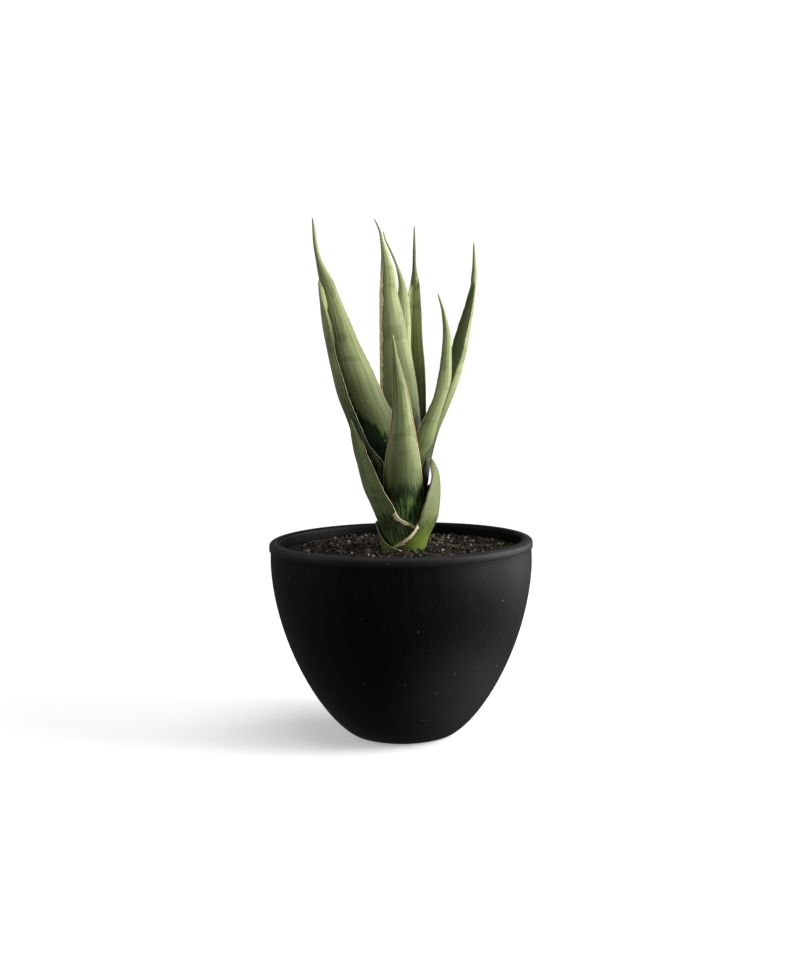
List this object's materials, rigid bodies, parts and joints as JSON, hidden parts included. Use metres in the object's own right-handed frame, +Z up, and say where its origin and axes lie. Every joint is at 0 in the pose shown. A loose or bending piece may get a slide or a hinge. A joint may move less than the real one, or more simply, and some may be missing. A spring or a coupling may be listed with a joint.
{
  "type": "potted snake plant",
  "caption": "Small snake plant with upright gutter-shaped pointed leaves in a matt black turned bowl pot filled with soil.",
  "frame": {"origin": "centre of the pot's flat resting face", "axes": "+Z up, along the pot's axis; the front of the plant faces -Y, +X is to its right seen from the front"},
  "size_m": [0.1204, 0.1204, 0.2353],
  "materials": {
    "pot": "matt black with faint vertical brushing and handling scuffs",
    "soil": "dark crumbly potting mix with tan grains and fibres",
    "rhizome": "corky orange-brown",
    "leaf_sheath": "waxy green living leaf, cream margins",
    "leaf_light": "waxy grey-green living leaf with a thin cream and brown margin",
    "leaf_dark": "waxy dark green living leaf with a thin cream and brown margin"
  },
  "bodies": {
    "root": {"pot": "pot", "soil": "soil", "rhizome": "rhizome", "leaf_basal_scale": "leaf_sheath", "leaf_clasp_right": "leaf_sheath", "leaf_clasp_left": "leaf_sheath", "leaf_front": "leaf_light", "leaf_left_outer": "leaf_dark", "leaf_left_tall": "leaf_light", "leaf_right_short": "leaf_light", "leaf_right_tall": "leaf_light", "leaf_centre_tall": "leaf_light", "leaf_centre_slim": "leaf_light", "leaf_back": "leaf_dark"}
  },
  "joints": []
}
